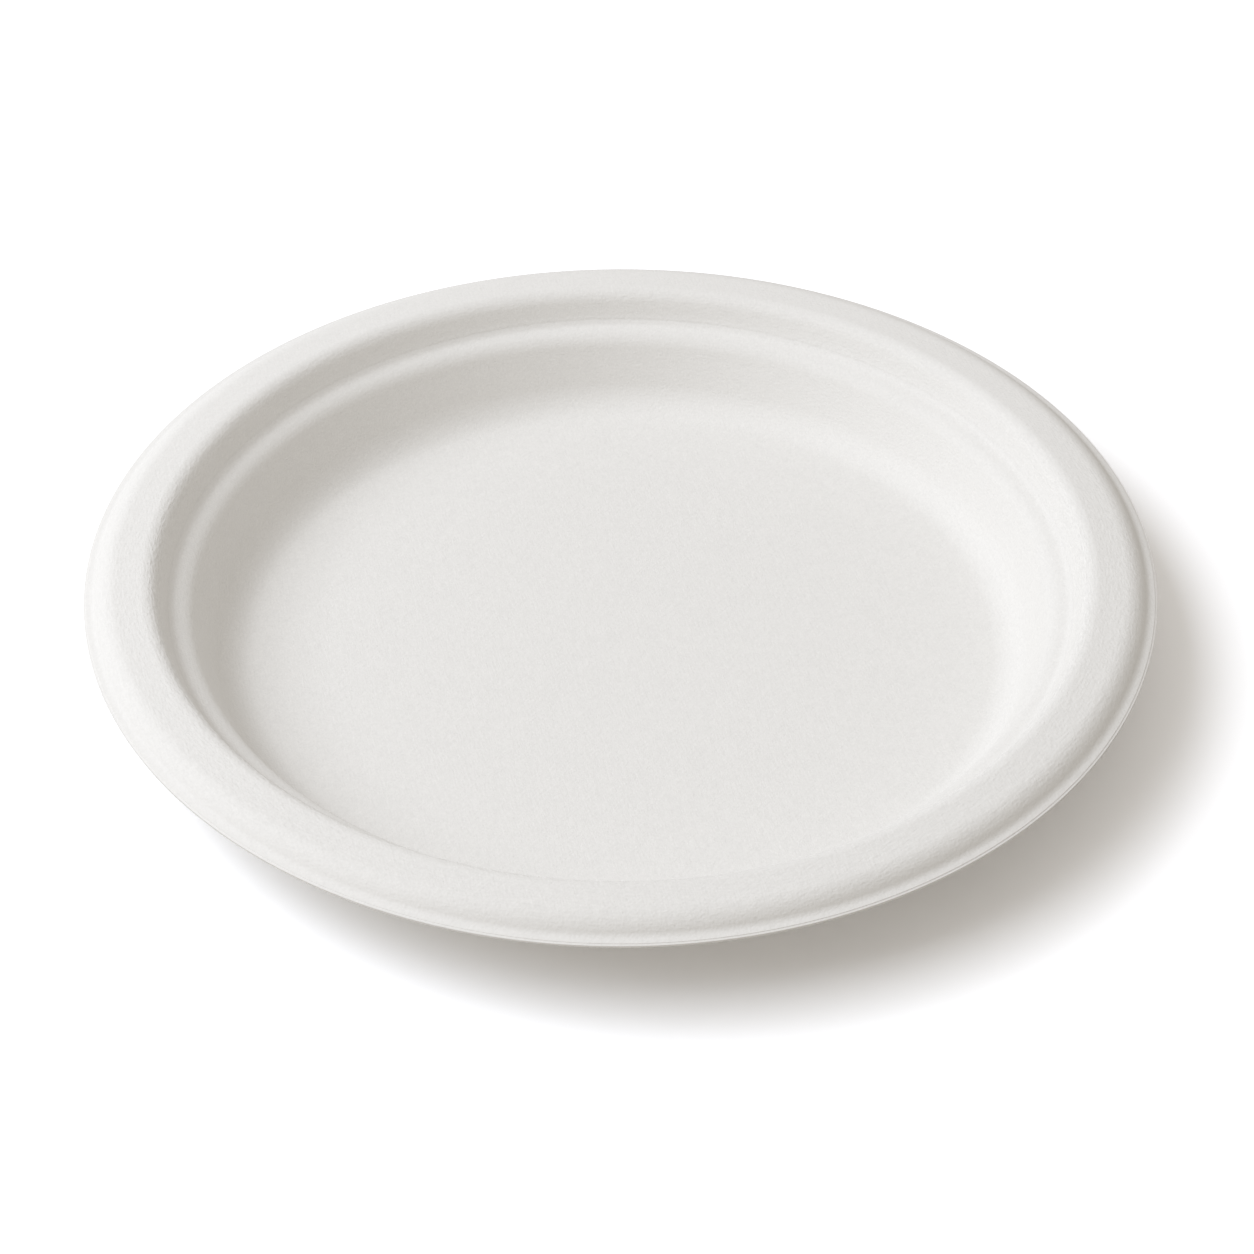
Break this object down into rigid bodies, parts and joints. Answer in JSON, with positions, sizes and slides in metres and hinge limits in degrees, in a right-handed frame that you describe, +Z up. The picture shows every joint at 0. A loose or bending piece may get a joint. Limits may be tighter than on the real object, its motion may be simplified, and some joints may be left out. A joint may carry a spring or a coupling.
{
  "type": "paper plate",
  "caption": "Round white disposable plate of moulded fibre, with a flat floor, a coved wall with a stacking ledge, a crowned rim and a trimmed lip.",
  "frame": {"origin": "centre of the flat underside, on the table", "axes": "+Z up along the plate's own axis; the plate is round, so X and Y are any two level directions at right angles"},
  "size_m": [0.225, 0.225, 0.0235],
  "materials": {
    "fibre": "matte"
  },
  "bodies": {
    "root": {"plate": "fibre"}
  },
  "joints": []
}
